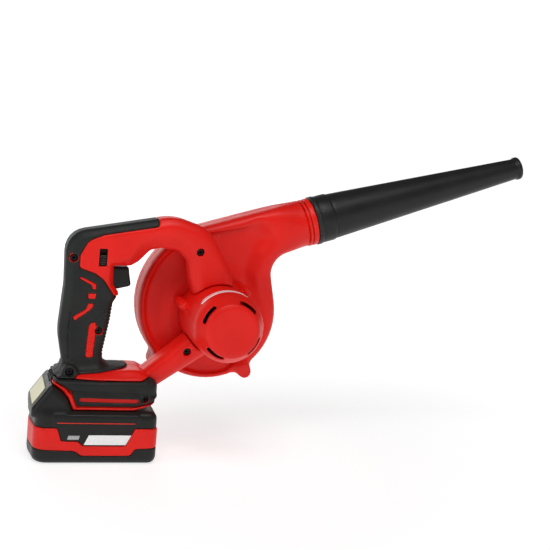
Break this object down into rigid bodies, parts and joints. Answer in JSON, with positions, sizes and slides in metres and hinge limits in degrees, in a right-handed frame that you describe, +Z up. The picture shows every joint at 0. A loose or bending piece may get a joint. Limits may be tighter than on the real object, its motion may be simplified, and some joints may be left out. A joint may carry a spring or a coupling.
{
  "type": "leaf blower",
  "caption": "Handheld cordless leaf blower: D-shaped handle with trigger, slide-on battery foot, side motor, scroll fan casing and a long tapered nozzle.",
  "frame": {"origin": "on the battery's flat base, under the grip, midway between its two flanks", "axes": "+X forward, out of the nozzle (which also rises 17.66 degrees), +Y to the blower's left (the fan casing's side), +Z up"},
  "size_m": [0.5174, 0.1445, 0.3247],
  "materials": {
    "red": "satin moulded ABS, red",
    "black": "matt moulded plastic, black",
    "rubber": "soft over-moulded grip rubber, black",
    "steel": "plain bright steel",
    "dark": "black-oxide steel or ferrite",
    "brass": "plain",
    "copper": null,
    "board": "circuit board",
    "cell": "sleeved steel cells",
    "red_wire": "wire insulation",
    "black_wire": "wire insulation"
  },
  "bodies": {
    "blower": {"handle_shell_right": "red", "handle_shell_left": "red", "grip_cover_right": "rubber", "grip_cover_left": "rubber", "foot_bumper_right": "rubber", "foot_bumper_left": "rubber", "motor_housing": "red", "volute_near": "red", "volute_far": "red", "intake_grille": "black", "motor_can": "steel", "motor_end_bell": "black", "motor_magnet_upper": "dark", "motor_magnet_lower": "dark", "motor_brush_upper": "copper", "motor_brush_lower": "copper", "bearing_front": "steel", "bearing_rear": "steel", "trigger_switch": "black", "terminal_block": "black", "terminal_blade_right": "brass", "terminal_blade_left": "brass", "lead_positive": "red_wire", "lead_negative": "black_wire", "motor_lead_red": "red_wire", "motor_lead_black": "black_wire", "trigger_spring": "steel", "handle_screw_1": "dark", "handle_screw_2": "dark", "handle_screw_3": "dark", "handle_screw_4": "dark", "handle_screw_5": "dark", "handle_screw_6": "dark", "housing_screw_1": "dark", "housing_screw_2": "dark", "housing_screw_3": "dark", "volute_screw_1": "dark", "volute_screw_2": "dark"},
    "fan": {"motor_shaft": "steel", "rotor_core": "copper", "commutator": "brass", "impeller": "black", "impeller_nut": "steel"},
    "trigger": {"trigger": "black"},
    "selector": {"selector_bar": "black"},
    "battery": {"battery_lower_case": "black", "battery_band": "red", "battery_upper_case": "black", "battery_cells": "cell", "battery_board": "board", "battery_contacts": "black", "release_spring": "steel"},
    "release_button": {"battery_release_button": "black"},
    "nozzle_ring": {"nozzle_seal": "rubber"},
    "nozzle": {"nozzle": "black"}
  },
  "joints": [
    {"name": "fan_spin", "type": "hinge", "parent": "blower", "child": "fan", "pos_m": [0.115, 0, 0.14], "axis": [0, 1, 0], "continuous": true},
    {"name": "trigger_pull", "type": "slide", "parent": "blower", "child": "trigger", "axis": [-1, 0, 0], "range_m": [0, 0.007], "stiffness_N_per_m": 400, "springref_m": -0.01, "deforming": ["trigger_spring"]},
    {"name": "selector_slide", "type": "slide", "parent": "blower", "child": "selector", "axis": [0, 1, 0], "range_m": [-0.003, 0.003]},
    {"name": "battery_slide", "type": "slide", "parent": "blower", "child": "battery", "axis": [-1, 0, 0], "range_m": [0, 0.1]},
    {"name": "release_press", "type": "slide", "parent": "battery", "child": "release_button", "axis": [0, 0, -1], "range_m": [0, 0.003], "stiffness_N_per_m": 800, "springref_m": -0.004, "deforming": ["release_spring"]},
    {"name": "nozzle_twist", "type": "hinge", "parent": "blower", "child": "nozzle_ring", "pos_m": [0.221, 0.042, 0.2398], "axis": [0.9529, 0, 0.3034], "continuous": true},
    {"name": "nozzle_pull", "type": "slide", "parent": "nozzle_ring", "child": "nozzle", "axis": [0.9529, 0, 0.3034], "range_m": [0, 0.035]}
  ]
}
